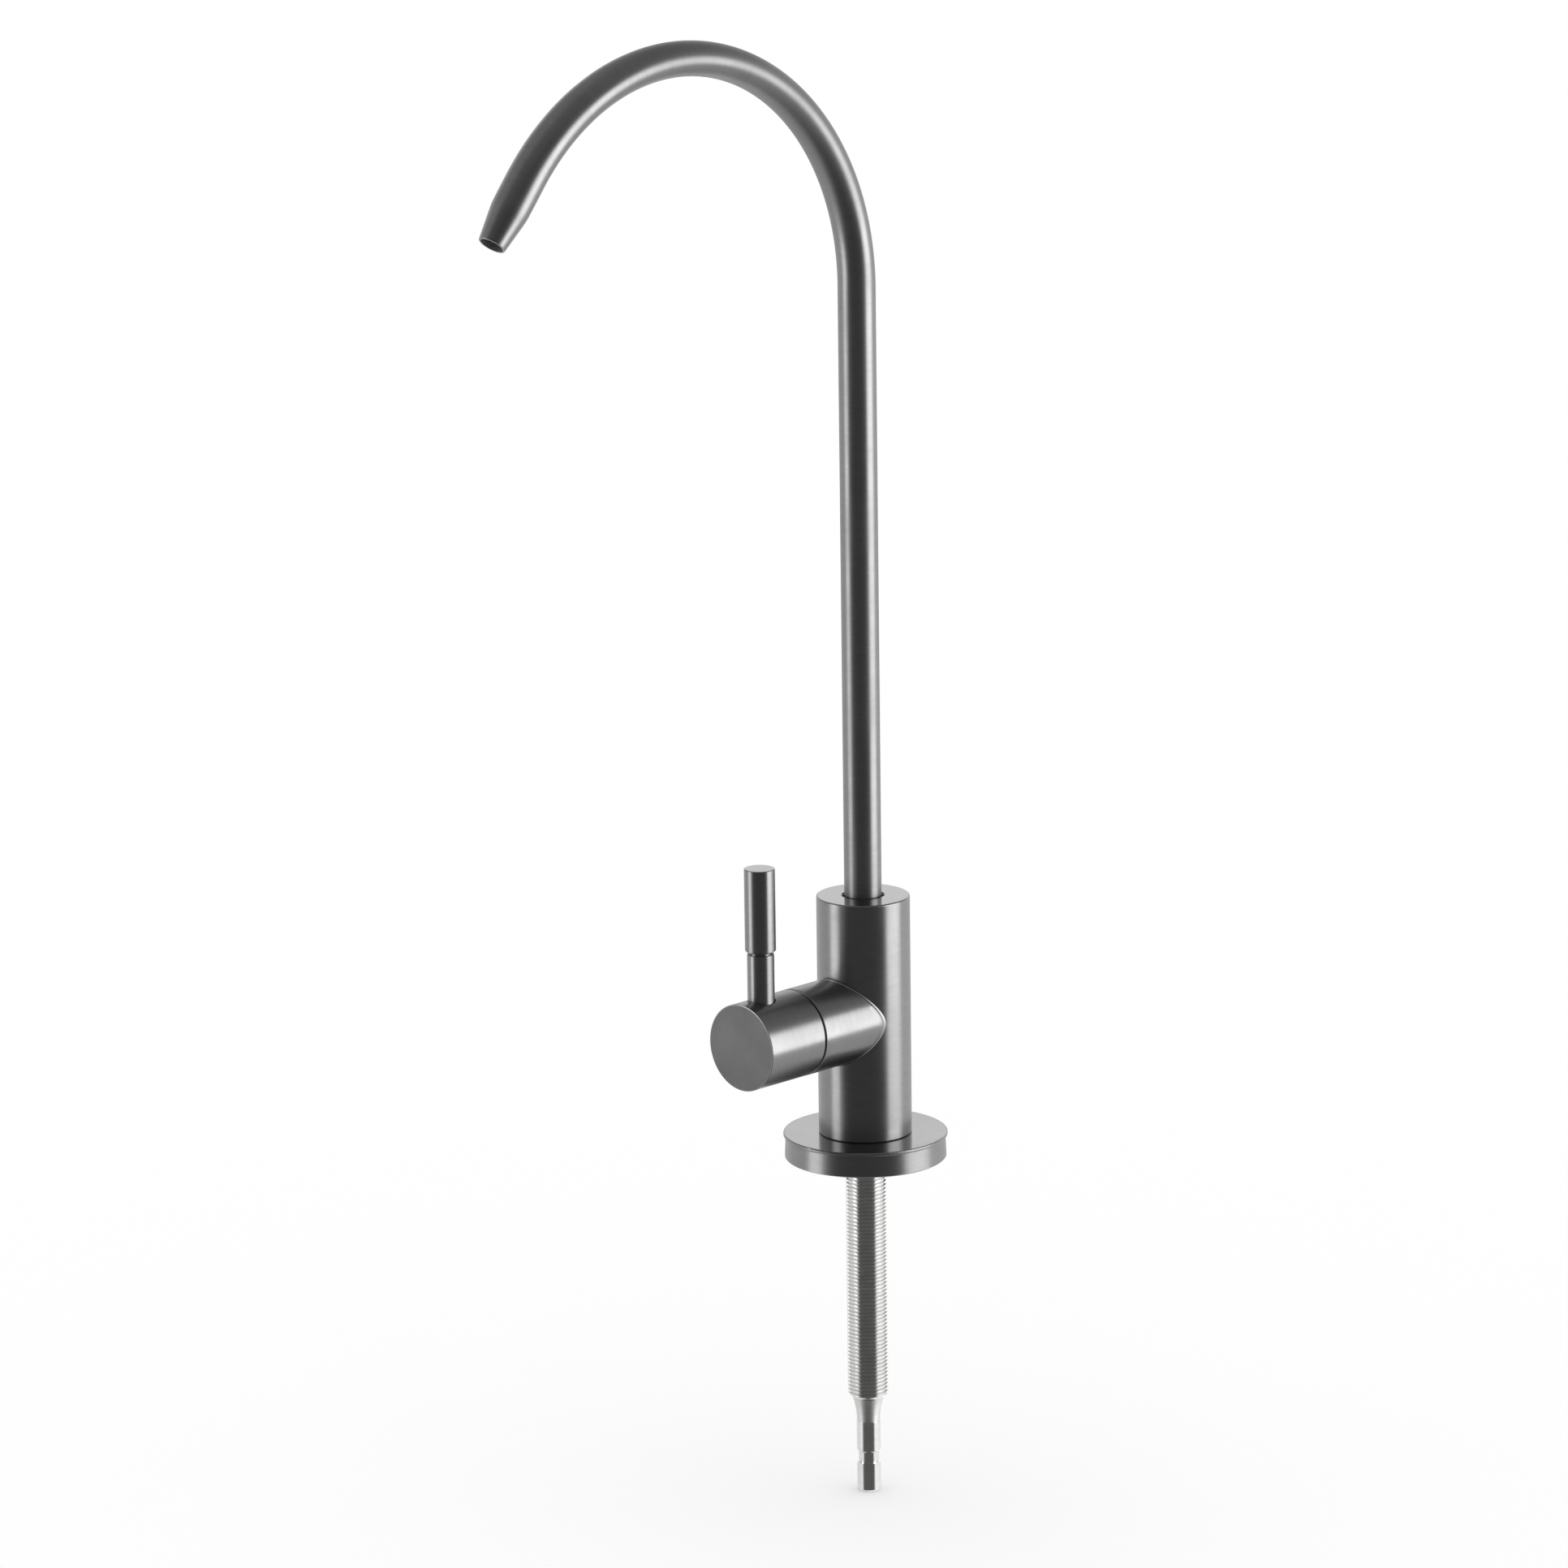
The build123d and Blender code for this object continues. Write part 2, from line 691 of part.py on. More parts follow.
def spout_collar():
    """The swivel end that is brazed on the tube: two seals, a snap ring groove and a cup for the tube."""
    wall = spout_socket_radius - running_gap
    snap_floor = snap_ring_inner_radius - running_gap
    snap_top = snap_groove_foot + snap_groove_width
    lower_top = lower_ring_foot + collar_groove_width
    upper_top = upper_ring_foot + collar_groove_width
    return turned(
        [
            (collar_bore_radius, collar_foot),
            (wall, collar_foot),
            (wall, snap_groove_foot),
            (snap_floor, snap_groove_foot),
            (snap_floor, snap_top),
            (wall, snap_top),
            (wall, lower_ring_foot),
            (collar_groove_radius, lower_ring_foot),
            (collar_groove_radius, lower_top),
            (wall, lower_top),
            (wall, upper_ring_foot),
            (collar_groove_radius, upper_ring_foot),
            (collar_groove_radius, upper_top),
            (wall, upper_top),
            (wall, collar_top),
            (tube_radius + slip_gap, collar_top),
            (tube_radius + slip_gap, tube_foot),
            (collar_bore_radius, tube_foot),
        ]
    )


def spout_o_ring(groove_foot):
    middle = groove_foot + collar_groove_width / 2
    return elastic_ring(collar_groove_radius, spout_socket_radius - seal_gap, middle)


def spout_snap_ring():
    foot = snap_groove_foot + snap_ring_side_gap / 2
    top = foot + snap_ring_thickness
    outer_radius = spout_socket_radius + snap_ring_bite - slip_gap
    ring = rod(outer_radius, foot, top) - rod(snap_ring_inner_radius, foot, top)
    opening = Pos(0, outer_radius, 0) * block(snap_ring_opening_width, 2 * outer_radius, foot, top)
    return ring - opening


def spout_guide_bush():
    top = body_top - bush_recess
    ring = rod(spout_socket_radius - slip_gap, bush_foot, top)
    ring -= rod(tube_radius + running_gap, bush_foot, top)
    gap = block(2 * body_radius, bush_tooth_gap_width, top - bush_tooth_gap_depth, top)
    for index in range(bush_tooth_count // 2):
        ring -= Rot(0, 0, index * 360 / bush_tooth_count) * gap
    return ring


pieces = {
    "valve_body": valve_body(),
    "side_branch": side_branch(),
    "base_plate": base_plate(),
    "base_gasket": base_gasket(),
    "threaded_shank": threaded_shank(),
    "shank_o_ring": shank_o_ring(),
    "seat_seal": seat_seal(),
    "fixed_disc": fixed_disc(),
    "moving_disc": moving_disc(),
    "cartridge_housing": cartridge_housing(),
    "cartridge_o_ring": cartridge_o_ring(),
    "spindle": spindle(),
    "spindle_inner_o_ring": spindle_o_ring(0),
    "spindle_outer_o_ring": spindle_o_ring(1),
    "thrust_washer": thrust_washer(),
    "stop_ring": stop_ring(),
    "spindle_circlip": spindle_circlip(),
    "handle_hub": handle_hub(),
    "lever_stem": lever_stem(),
    "lever_grip": lever_grip(),
    "spout_tube": spout_tube(),
    "spout_collar": spout_collar(),
    "spout_lower_o_ring": spout_o_ring(lower_ring_foot),
    "spout_upper_o_ring": spout_o_ring(upper_ring_foot),
    "spout_snap_ring": spout_snap_ring(),
    "spout_guide_bush": spout_guide_bush(),
}

os.makedirs("parts", exist_ok=True)
for name, piece in pieces.items():
    export_step(piece, f"parts/{name}.step")
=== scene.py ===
from math import pi, radians

import bmesh
import bpy
import numpy as np
from mathutils import Matrix


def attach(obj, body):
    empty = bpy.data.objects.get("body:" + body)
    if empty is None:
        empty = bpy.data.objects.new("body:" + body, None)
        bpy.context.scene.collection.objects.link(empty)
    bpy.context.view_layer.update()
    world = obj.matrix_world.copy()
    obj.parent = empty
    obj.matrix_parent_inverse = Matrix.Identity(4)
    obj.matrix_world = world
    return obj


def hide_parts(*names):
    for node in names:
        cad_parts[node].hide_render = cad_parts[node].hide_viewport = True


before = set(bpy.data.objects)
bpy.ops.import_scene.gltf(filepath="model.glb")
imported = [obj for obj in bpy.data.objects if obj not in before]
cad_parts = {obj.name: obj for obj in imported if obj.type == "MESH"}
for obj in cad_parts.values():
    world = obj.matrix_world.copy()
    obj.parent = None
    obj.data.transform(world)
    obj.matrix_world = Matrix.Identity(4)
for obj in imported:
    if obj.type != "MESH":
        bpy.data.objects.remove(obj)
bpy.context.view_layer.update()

# The camera stands in front of the tap and to its right, a little above the base plate, with a long
# lens. It is rolled by less than a degree, so the whole tap leans a little to the left in the picture.
camera_azimuth = radians(44.43)
camera_elevation = radians(13.60)
camera_roll = radians(-0.75)
camera_distance = 1.9401
camera_lens = 167.53
film_width = 36.0
farthest_in_view = 100.0
aim_to_the_right = -0.02068
aim_height = 0.10304

camera = bpy.data.objects.new("camera", bpy.data.cameras.new("camera"))
bpy.context.scene.collection.objects.link(camera)
camera.data.lens = camera_lens
camera.data.sensor_width = film_width
camera.data.clip_end = farthest_in_view
aim = Matrix.Translation((0, 0, aim_height)) @ Matrix.Rotation(camera_azimuth, 4, "Z")
camera.matrix_world = (
    aim
    @ Matrix.Translation((aim_to_the_right, 0, 0))
    @ Matrix.Rotation(pi / 2 - camera_elevation, 4, "X")
    @ Matrix.Rotation(camera_roll, 4, "Z")
    @ Matrix.Translation((0, 0, camera_distance))
)
bpy.context.scene.camera = camera
bpy.context.scene.view_settings.view_transform = "Standard"


# The studio is a white sweep behind the tap, a large softbox at the camera's right, a narrower one at
# its left and a dim room behind the camera. Polished metal mirrors all of them. Everything else gets
# plain white light from all round, so that a colour renders as it is written.
softbox_distance = 1.0
softbox_top = 0.517
right_softbox = {"side": radians(78), "width": 0.757, "height": 0.73, "light": 3.35}
left_softbox = {"side": radians(-76.5), "width": 0.40, "height": 0.817, "light": 2.5}
room_light = 0.095
ceiling_light = 0.22
sweep_light = 0.9
straight_sweep_light = 1.3
left_sweep_share = 0.8
foot_light = 1.0
far_left_foot_light = 1.0
far_right_foot_light = 0.75
dead_ahead_foot_light = 0.3
ground_light = 0.8
far_ground_light = 1.1
left_wall_light = 0.36
right_wall_light = 0.27
room_edge = (50, 68)
sweep_edge = (88, 116)
far_foot_edge = (120, 150)
straight_edge = (138, 158)
dead_ahead_edge = (160, 172)
right_edge = (-10, 10)
ground_edge = (-30, -12)
foot_edge = (-6, 4)
sweep_top_edge = (18, 29)
ceiling_edge = (30, 60)


def add_node(tree, kind, inputs=None, **settings):
    """Add a node to a tree, set it up, and give its inputs a value or another node's output."""
    node = tree.nodes.new(kind)
    for name, value in settings.items():
        setattr(node, name, value)
    for key, value in (inputs or {}).items():
        if isinstance(value, bpy.types.NodeSocket):
            tree.links.new(value, node.inputs[key])
        else:
            node.inputs[key].default_value = value
    return node


def calculate(tree, operation, first, second=0.0, third=0.0):
    """The output of one Math node."""
    inputs = {0: first, 1: second, 2: third}
    return add_node(tree, "ShaderNodeMath", inputs, operation=operation).outputs[0]


def blend(tree, share, first, second):
    """The first value where the share is 0 and the second where it is 1."""
    return add_node(tree, "ShaderNodeMix", {"Factor": share, "A": first, "B": second}).outputs[0]


def smooth_step(tree, value, ends, start=0.0, stop=1.0):
    """Go smoothly from start to stop while a value goes from one end to the other."""
    inputs = {"Value": value, "From Min": ends[0], "From Max": ends[1], "To Min": start, "To Max": stop}
    return add_node(tree, "ShaderNodeMapRange", inputs, interpolation_type="SMOOTHSTEP").outputs[0]


def softbox(name, side, width, height, light):
    """A square lamp that faces the tap, at an angle round it from the camera."""
    lamp = bpy.data.lights.new(name, "AREA")
    lamp.shape = "RECTANGLE"
    lamp.size = width
    lamp.size_y = height
    lamp.energy = light * pi * width * height
    box = bpy.data.objects.new(name, lamp)
    bpy.context.scene.collection.objects.link(box)
    box.matrix_world = (
        Matrix.Rotation(camera_azimuth + side, 4, "Z")
        @ Matrix.Translation((0, -softbox_distance, softbox_top - height / 2))
        @ Matrix.Rotation(pi / 2, 4, "X")
    )
    box.visible_camera = False
    box.visible_diffuse = False


def mirrored_light(tree):
    """How bright the studio is in each direction, as polished metal mirrors it.

    A direction is an angle to the side, from 0 towards the camera to 180 straight behind the tap, and
    a height from level. Each edge is a pair of such angles in degrees, with a smooth change between.
    The right edge is between the camera's left and its right.
    """

    def past(angle, edge):
        return smooth_step(tree, angle, [radians(end) for end in edge])

    direction = add_node(tree, "ShaderNodeTexCoord").outputs["Generated"]
    turn = {"Vector": direction, "Rotation": (0, 0, pi / 2 - camera_azimuth)}
    turned = add_node(tree, "ShaderNodeMapping", turn).outputs[0]
    parts = add_node(tree, "ShaderNodeSeparateXYZ", {0: turned}).outputs
    to_the_side = calculate(tree, "ABSOLUTE", calculate(tree, "ARCTAN2", parts["Y"], parts["X"]))
    height = calculate(tree, "ARCSINE", parts["Z"])
    on_the_right = past(parts["Y"], right_edge)
    straight_behind = past(to_the_side, straight_edge)

    ground = blend(tree, straight_behind, ground_light, far_ground_light)
    foot = blend(tree, on_the_right, far_left_foot_light, far_right_foot_light)
    foot = blend(tree, past(to_the_side, far_foot_edge), foot_light, foot)
    foot = blend(tree, past(to_the_side, dead_ahead_edge), foot, dead_ahead_foot_light)
    sweep = blend(tree, straight_behind, sweep_light, straight_sweep_light)
    sweep = blend(tree, past(to_the_side, sweep_edge), room_light, sweep)
    wall = blend(tree, on_the_right, left_wall_light, right_wall_light)

    aside = blend(tree, past(height, foot_edge), foot, sweep)
    aside = blend(tree, past(height, ground_edge), ground, aside)
    aside = calculate(tree, "MULTIPLY", aside, blend(tree, on_the_right, left_sweep_share, 1.0))
    aside = blend(tree, past(height, sweep_top_edge), aside, wall)
    room = blend(tree, past(height, ceiling_edge), room_light, ceiling_light)
    return blend(tree, past(to_the_side, room_edge), room, aside)


softbox("right softbox", **right_softbox)
softbox("left softbox", **left_softbox)
studio = bpy.data.worlds.new("studio")
bpy.context.scene.world = studio
studio.use_nodes = True
studio.cycles.sampling_method = "NONE"
sky = studio.node_tree
sky.nodes.clear()
mirrored = add_node(sky, "ShaderNodeLightPath").outputs["Is Glossy Ray"]
strength = blend(sky, mirrored, 1.0, mirrored_light(sky))
background = add_node(sky, "ShaderNodeBackground", {"Color": (1, 1, 1, 1), "Strength": strength})
add_node(sky, "ShaderNodeOutputWorld", {"Surface": background.outputs[0]})


# The floor is a wide sheet of plain white paper at the foot of the inlet stem. It takes the tap's
# soft shadow, and the tap's metal mirrors the studio instead of it.
floor_height = -0.0945
floor_reach = 30.0

floor_mesh = bpy.data.meshes.new("floor")
corners = np.array([(-1, -1, 0), (1, -1, 0), (1, 1, 0), (-1, 1, 0)]) * floor_reach
floor_mesh.from_pydata(corners + (0, 0, floor_height), [], [(0, 1, 2, 3)])
floor = bpy.data.objects.new("floor", floor_mesh)
bpy.context.scene.collection.objects.link(floor)
floor.visible_glossy = False
paper = bpy.data.materials.new("white paper")
paper.use_nodes = True
paper_shader = paper.node_tree.nodes["Principled BSDF"]
paper_shader.inputs["Base Color"].default_value = (1, 1, 1, 1)
paper_shader.inputs["Roughness"].default_value = 1.0
paper_shader.inputs["Specular IOR Level"].default_value = 0.0
floor_mesh.materials.append(paper)


# The shank is a bar of stainless steel with a fine rolled thread, fixed in the body from below. Its
# lower end is drawn down in a hollow neck to a quarter-inch stem, which is turned and left bare and has
# a groove for a push-fit connector.
bare_steel = (0.88, 0.875, 0.865)
# The thread's crests get painted shade, a quarter darker, so that the thread shows as dark lines.
thread_crest = (0.00530, 0.00548)
thread_foot = (-0.0667, -0.0662)
crest_painted_shade = 0.25
neck_foot = (-0.0751, -0.0745)
neck_top = (-0.0684, -0.0678)
neck_dulling = 0.3
turning_depth = 0.000002
scratch_spacing = 0.00024
scratch_change = 240.0
band_pace = 0.16
band_share = 0.35
cloud_scale = 70.0
noise_middle = (0.3, 0.7)
tone_range = (0.91, 1.08)
gloss_spread = 0.03
flat_from = 0.97
barrel_stretch = 0.6
stretch_turn = 0.25


def radius_and_height(tree, position):
    """A position's distance from the Z axis, and its height along it."""
    flat = add_node(tree, "ShaderNodeVectorMath", {0: position, 1: (1, 1, 0)}, operation="MULTIPLY")
    radius = add_node(tree, "ShaderNodeVectorMath", {0: flat.outputs[0]}, operation="LENGTH")
    height = add_node(tree, "ShaderNodeSeparateXYZ", {0: position})
    return radius.outputs["Value"], height.outputs["Z"]


def turned_place():
    """The place along a turned piece's outline, as its height less its distance from the Z axis."""
    tree = bpy.data.node_groups.new("turned place", "ShaderNodeTree")
    tree.interface.new_socket("Position", in_out="INPUT", socket_type="NodeSocketVector")
    tree.interface.new_socket("Along", in_out="OUTPUT", socket_type="NodeSocketFloat")
    position = add_node(tree, "NodeGroupInput").outputs["Position"]
    radius, height = radius_and_height(tree, position)
    add_node(tree, "NodeGroupOutput", {"Along": calculate(tree, "SUBTRACT", height, radius)})
    return tree


def brushed_grain():
    """Fine scratches that run round a piece, with broader bands and soft clouds of handling.

    The scratches are noise that changes fast along the piece and slowly round it.
    """
    tree = bpy.data.node_groups.new("brushed grain", "ShaderNodeTree")
    tree.interface.new_socket("Position", in_out="INPUT", socket_type="NodeSocketVector")
    for name in ("Along", "Spacing"):
        tree.interface.new_socket(name, in_out="INPUT", socket_type="NodeSocketFloat")
    for name in ("Height", "Tone", "Clouds"):
        tree.interface.new_socket(name, in_out="OUTPUT", socket_type="NodeSocketFloat")
    given = add_node(tree, "NodeGroupInput").outputs
    slow = {0: given["Position"], "Scale": scratch_change}
    slow = add_node(tree, "ShaderNodeVectorMath", slow, operation="SCALE").outputs[0]
    fast = calculate(tree, "DIVIDE", given["Along"], given["Spacing"])
    scratch = {"Vector": slow, "W": fast, "Scale": 1.0, "Detail": 3.0, "Roughness": 0.6}
    scratches = add_node(tree, "ShaderNodeTexNoise", scratch, noise_dimensions="4D").outputs["Fac"]
    broad = calculate(tree, "MULTIPLY", fast, band_pace)
    band = {"Vector": slow, "W": broad, "Scale": 1.0, "Detail": 2.0}
    bands = add_node(tree, "ShaderNodeTexNoise", band, noise_dimensions="4D").outputs["Fac"]
    cloud = {"Vector": given["Position"], "Scale": cloud_scale, "Detail": 3.0}
    clouds = add_node(tree, "ShaderNodeTexNoise", cloud).outputs["Fac"]
    tone = blend(tree, band_share, scratches, bands)
    add_node(tree, "NodeGroupOutput", {"Height": scratches, "Tone": tone, "Clouds": clouds})
    return tree


turned_place_group = turned_place()
brushed_grain_group = brushed_grain()


def new_material(name):
    """A node material, with its tree and its shader."""
    material = bpy.data.materials.new(name)
    material.use_nodes = True
    return material, material.node_tree, material.node_tree.nodes["Principled BSDF"]


def spread(tree, value, low, high):
    """Spread the middle of a noise, where most of its values lie, over a range."""
    ends = {"From Min": noise_middle[0], "From Max": noise_middle[1], "To Min": low, "To Max": high}
    return add_node(tree, "ShaderNodeMapRange", {"Value": value, **ends}).outputs[0]


def tint(tree, shader, colour, tone):
    """Colour a finish with one colour, made darker or lighter by a tone."""
    tinted = add_node(tree, "ShaderNodeVectorMath", {0: colour, "Scale": tone}, operation="SCALE")
    tree.links.new(tinted.outputs[0], shader.inputs["Base Color"])


def emboss(tree, shader, height, depth):
    """Raise a finish by a height from 0 to 1, to a depth in metres."""
    bump = {"Height": height, "Strength": 1.0, "Distance": depth}
    tree.links.new(add_node(tree, "ShaderNodeBump", bump).outputs[0], shader.inputs["Normal"])


def brush(tree, shader, colour, depth, stretch, position, along, tangent):
    """Scratch a metal finish, draw its gloss out across the scratches, and return its clouds."""
    given = {"Position": position, "Along": along, "Spacing": scratch_spacing}
    grain = add_node(tree, "ShaderNodeGroup", given, node_tree=brushed_grain_group).outputs
    tint(tree, shader, colour, spread(tree, grain["Tone"], *tone_range))
    emboss(tree, shader, grain["Height"], depth)
    shader.inputs["Metallic"].default_value = 1.0
    shader.inputs["Anisotropic"].default_value = stretch
    shader.inputs["Anisotropic Rotation"].default_value = stretch_turn
    tree.links.new(tangent, shader.inputs["Tangent"])
    return grain["Clouds"]


def brushed_metal(name, colour, roughness, flat_roughness, depth, centre=(0, 0, 0), turn=(0, 0, 0)):
    """Metal with scratches round an axis, and a gloss of their own on its flat ends."""
    material, tree, shader = new_material(name)
    place = add_node(tree, "ShaderNodeTexCoord").outputs
    centred = {"Vector": place["Object"], "Location": tuple(-value for value in centre)}
    centred = add_node(tree, "ShaderNodeMapping", centred).outputs[0]
    position = add_node(tree, "ShaderNodeMapping", {"Vector": centred, "Rotation": turn}).outputs[0]
    along = {"Position": position}
    along = add_node(tree, "ShaderNodeGroup", along, node_tree=turned_place_group).outputs["Along"]
    tangent = {"direction_type": "RADIAL", "axis": "Y" if turn[0] else "Z"}
    tangent = add_node(tree, "ShaderNodeTangent", **tangent).outputs[0]
    clouds = brush(tree, shader, colour, depth, barrel_stretch, position, along, tangent)
    facing = {"Vector": place["Normal"], "Rotation": turn}
    facing = add_node(tree, "ShaderNodeMapping", facing, vector_type="VECTOR").outputs[0]
    upwards = add_node(tree, "ShaderNodeSeparateXYZ", {0: facing}).outputs["Z"]
    flat = calculate(tree, "GREATER_THAN", calculate(tree, "ABSOLUTE", upwards), flat_from)
    barrel_gloss = spread(tree, clouds, roughness - gloss_spread, roughness + gloss_spread)
    end_gloss = spread(tree, clouds, flat_roughness - gloss_spread, flat_roughness + gloss_spread)
    tree.links.new(blend(tree, flat, barrel_gloss, end_gloss), shader.inputs["Roughness"])
    return material


def dull(tree, shader, place, rise, fall, amount):
    """Make a finish rougher along a stretch of a piece, between a smooth rise and a smooth fall."""
    up = smooth_step(tree, place, rise)
    down = smooth_step(tree, place, fall, start=1.0, stop=0.0)
    between = calculate(tree, "MULTIPLY", up, down)
    roughness = shader.inputs["Roughness"]
    duller = calculate(tree, "MULTIPLY_ADD", between, amount, roughness.links[0].from_socket)
    tree.links.new(duller, roughness)


def shank_steel():
    """Turned steel, duller along the drawn neck, with painted shade on the thread's crests so that the
    thread's lines show dark.

    The crests are found by their distance from the Z axis, above the foot of the thread.
    """
    steel = brushed_metal(
        "turned steel", bare_steel, roughness=0.2, flat_roughness=0.2, depth=turning_depth
    )
    tree = steel.node_tree
    shader = tree.nodes["Principled BSDF"]
    radius, height = radius_and_height(tree, add_node(tree, "ShaderNodeTexCoord").outputs["Object"])
    dull(tree, shader, height, neck_foot, neck_top, neck_dulling)
    # Painted shade: the crests, found by their distance from the axis above the thread's foot, are made
    # darker.
    far_out = smooth_step(tree, radius, thread_crest)
    high_up = smooth_step(tree, height, thread_foot)
    crest_shade_mask = calculate(tree, "MULTIPLY", far_out, high_up)
    shade = calculate(tree, "MULTIPLY_ADD", crest_shade_mask, -crest_painted_shade, 1.0)
    tint(tree, shader, shader.inputs["Base Color"].links[0].from_socket, shade)
    return steel


def finish_nodes(material, *nodes):
    """Give parts of the frame their finished material."""
    for node in nodes:
        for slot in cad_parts[node].material_slots:
            slot.material = material


finish_nodes(shank_steel(), "threaded_shank")


# The base plate is a turned cap of the same steel as the body, coated dark grey and brushed round.
# It sits on the deck over a flat rubber gasket, and the body stands on it.
gunmetal = (0.300, 0.300, 0.300)
brushing_depth = 0.000001
coated = {"colour": gunmetal, "roughness": 0.33, "flat_roughness": 0.12, "depth": brushing_depth}
stain_scale = 90.0
stain_range = (0.9, 1.08)
skin_gloss_spread = 0.05


def moulded(name, colour, roughness, grain_size, depth, metallic=0.0):
    """Rubber, plastic, fired clay or blasted metal: an even colour with a fine grainy skin."""
    material, tree, shader = new_material(name)
    shader.inputs["Metallic"].default_value = metallic
    place = add_node(tree, "ShaderNodeTexCoord").outputs["Object"]
    grain = {"Vector": place, "Scale": 1.0 / grain_size, "Detail": 3.0}
    skin = add_node(tree, "ShaderNodeTexNoise", grain).outputs["Fac"]
    stain = add_node(tree, "ShaderNodeTexNoise", {"Vector": place, "Scale": stain_scale}).outputs["Fac"]
    tint(tree, shader, colour, spread(tree, stain, *stain_range))
    gloss = spread(tree, skin, roughness - skin_gloss_spread, roughness + skin_gloss_spread)
    tree.links.new(gloss, shader.inputs["Roughness"])
    emboss(tree, shader, skin, depth)
    return material


upright_gunmetal = brushed_metal("upright gunmetal", **coated)
finish_nodes(upright_gunmetal, "base_plate")
black_rubber = moulded(
    "black rubber", (0.022, 0.022, 0.023), roughness=0.62, grain_size=0.0004, depth=0.00001
)
finish_nodes(black_rubber, "base_gasket", "shank_o_ring")


# The valve body is an upright bar of the same coated steel, brushed round, with its flat top turned
# bright. It is bored for the shank below, for the spout above and for the branch at its front.
finish_nodes(upright_gunmetal, "valve_body")


# The side branch is a turned sleeve that is saddled to the body and brazed to it, with a fine bead.
# Behind it, in a brass housing, are the rubber seat, the two ceramic discs and a sealing ring.
branch_height = 0.0397
branch_radius = 0.01175
branch_reach = 0.0266
branch_edge_round = 0.0003
saddle_radius = 0.01262
bead_height = 0.00026
bead_width = 0.0008
spigot_radius = 0.0085
spigot_reach = 0.0075
chamber_radius = 0.0072
chamber_reach = 0.01746
mouth_radius = 0.00802
mouth_chamfer = 0.0003
branch_sides = 160
saddle_rings = 8
bead_rings = 13
barrel_steps = 13
corner_points = 6
weld_distance = 1e-8
sharp_angle = radians(35)
along_branch = {"centre": (0, 0, branch_height), "turn": (radians(-90), 0, 0)}
brass = {"colour": (0.62, 0.42, 0.15), "roughness": 0.25, "flat_roughness": 0.2, "depth": turning_depth}


def surface(name, points, finishes, closed=True):
    """A surface from a grid of points, joined up round its columns, and round its rows where closed.

    points[i, j] is the point of row i and column j. finishes gives each row's material and its number
    of rows. The texture map is the distance round by the distance along, both in metres.
    """
    rows, columns = points.shape[:2]
    steps = rows if closed else rows - 1
    i, j = np.meshgrid(np.arange(steps), np.arange(columns), indexing="ij")
    around = [(i, j), (i, (j + 1) % columns), ((i + 1) % rows, (j + 1) % columns), ((i + 1) % rows, j)]
    faces = np.stack([a * columns + b for a, b in around], axis=-1).reshape(-1, 4)
    mesh = bpy.data.meshes.new(name)
    mesh.from_pydata(points.reshape(-1, 3), [], faces)
    ring = np.concatenate([points, points[:, :1]], axis=1)
    ring = np.concatenate([ring, ring[:1]], axis=0)
    round_way = np.cumsum(np.linalg.norm(np.diff(ring, axis=1), axis=2).max(axis=0))
    along_way = np.cumsum(np.linalg.norm(np.diff(ring, axis=0), axis=2).max(axis=1))
    round_way, along_way = np.append(0, round_way), np.append(0, along_way)
    places = [(round_way[j + b], along_way[i + a]) for a, b in ((0, 0), (0, 1), (1, 1), (1, 0))]
    places = np.stack([np.stack(place, axis=-1) for place in places], axis=2)
    mesh.uv_layers.new(name="UVMap").data.foreach_set("uv", places.reshape(-1))
    for material, _ in finishes:
        mesh.materials.append(material)
    counts = [count * columns for _, count in finishes]
    finish_of_face = np.repeat(np.arange(len(finishes)), counts)[: len(faces)]
    mesh.polygons.foreach_set("material_index", finish_of_face)
    closing = bmesh.new()
    closing.from_mesh(mesh)
    bmesh.ops.remove_doubles(closing, verts=closing.verts, dist=weld_distance)
    closing.to_mesh(mesh)
    closing.free()
    mesh.shade_smooth()
    mesh.set_sharp_from_angle(angle=sharp_angle)
    piece = bpy.data.objects.new(name, mesh)
    bpy.context.scene.collection.objects.link(piece)
    return piece


def quarter_round(radius, height, size, start):
    """Points of a rounded corner about a centre: radius + size * cos(a) and height + size * sin(a)."""
    angle = start + np.linspace(0, pi / 2, corner_points)
    return radius + size * np.cos(angle), height + size * np.sin(angle)


